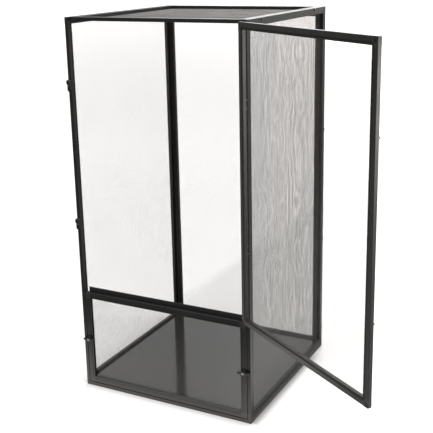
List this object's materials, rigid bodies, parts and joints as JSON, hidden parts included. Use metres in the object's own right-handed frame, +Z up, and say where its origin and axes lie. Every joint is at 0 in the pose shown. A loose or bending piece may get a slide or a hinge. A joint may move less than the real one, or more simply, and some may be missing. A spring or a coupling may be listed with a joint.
{
  "type": "reptile terrarium",
  "caption": "Tall screen terrarium: black frame with fine mesh on all sides, a tall hinged front door standing open, a drop-down door below it and a solid raised floor.",
  "frame": {"origin": "middle of the cage's footprint, at the underside of its base", "axes": "+Z up along the cage's height, +Y from the front doors to the back panel, +X to the right seen from the front"},
  "size_m": [0.8148, 0.7092, 0.914],
  "materials": {
    "frame_black": "black powder coat, satin",
    "corner_plastic": "moulded, satin",
    "mesh": "fine woven wire mesh, dull grey",
    "spline": "matte",
    "floor_sheet": "smooth, glossy",
    "steel": "zinc plated",
    "hinge_black": "black paint",
    "latch_plastic": "moulded, satin"
  },
  "bodies": {
    "root": {"base_side_rails": "frame_black", "base_cross_rails": "frame_black", "base_corners": "corner_plastic", "floor_panel": "floor_sheet", "left_front_stile": "frame_black", "left_back_stile": "frame_black", "left_rails": "frame_black", "left_corners": "corner_plastic", "left_mesh": "mesh", "left_spline": "spline", "right_front_stile": "frame_black", "right_back_stile": "frame_black", "right_rails": "frame_black", "right_corners": "corner_plastic", "right_mesh": "mesh", "right_spline": "spline", "back_left_stile": "frame_black", "back_right_stile": "frame_black", "back_rails": "frame_black", "back_corners": "corner_plastic", "back_mesh": "mesh", "back_spline": "spline", "top_left_rail": "frame_black", "top_right_rail": "frame_black", "top_cross_rails": "frame_black", "top_corners": "corner_plastic", "top_mesh": "mesh", "top_spline": "spline", "pivot_pins": "steel", "hinge_frame_leaves": "hinge_black", "hinge_pins": "steel", "frame_leaf_screws": "steel", "button_screws": "steel", "panel_screws": "steel", "base_screws": "steel"},
    "upper_door": {"upper_hinge_stile": "frame_black", "upper_latch_stile": "frame_black", "upper_door_rails": "frame_black", "upper_door_corners": "corner_plastic", "upper_door_mesh": "mesh", "upper_door_spline": "spline", "hinge_door_leaves": "hinge_black", "door_leaf_screws": "steel", "pull_studs": "steel"},
    "lower_door": {"lower_left_stile": "frame_black", "lower_right_stile": "frame_black", "lower_door_rails": "frame_black", "lower_door_corners": "corner_plastic", "lower_door_mesh": "mesh", "lower_door_spline": "spline", "stop_strip": "latch_plastic", "strip_screws": "steel"},
    "high_turn_button": {"high_turn_button": "latch_plastic"},
    "low_turn_button": {"low_turn_button": "latch_plastic"},
    "left_latch": {"left_latch_knob": "latch_plastic", "left_latch_spindle": "steel"},
    "right_latch": {"right_latch_knob": "latch_plastic", "right_latch_spindle": "steel"}
  },
  "joints": [
    {"name": "upper_door_swing", "type": "hinge", "parent": "root", "child": "upper_door", "pos_m": [0.219, -0.2305, 0.5815], "axis": [0, 0, 1], "range_deg": [-146.5, 23.5]},
    {"name": "lower_door_drop", "type": "hinge", "parent": "root", "child": "lower_door", "pos_m": [0, -0.2255, 0.01825], "axis": [1, 0, 0], "range_deg": [0, 90]},
    {"name": "high_button_turn", "type": "hinge", "parent": "root", "child": "high_turn_button", "pos_m": [-0.22425, -0.2285, 0.759], "axis": [0, 1, 0], "range_deg": [0, 90]},
    {"name": "low_button_turn", "type": "hinge", "parent": "root", "child": "low_turn_button", "pos_m": [-0.22425, -0.2285, 0.426], "axis": [0, 1, 0], "range_deg": [0, 90]},
    {"name": "left_latch_turn", "type": "hinge", "parent": "lower_door", "child": "left_latch", "pos_m": [-0.21185, -0.2285, 0.1275], "axis": [0, 1, 0], "range_deg": [0, 90]},
    {"name": "right_latch_turn", "type": "hinge", "parent": "lower_door", "child": "right_latch", "pos_m": [0.21185, -0.2285, 0.1275], "axis": [0, -1, 0], "range_deg": [0, 90]}
  ]
}
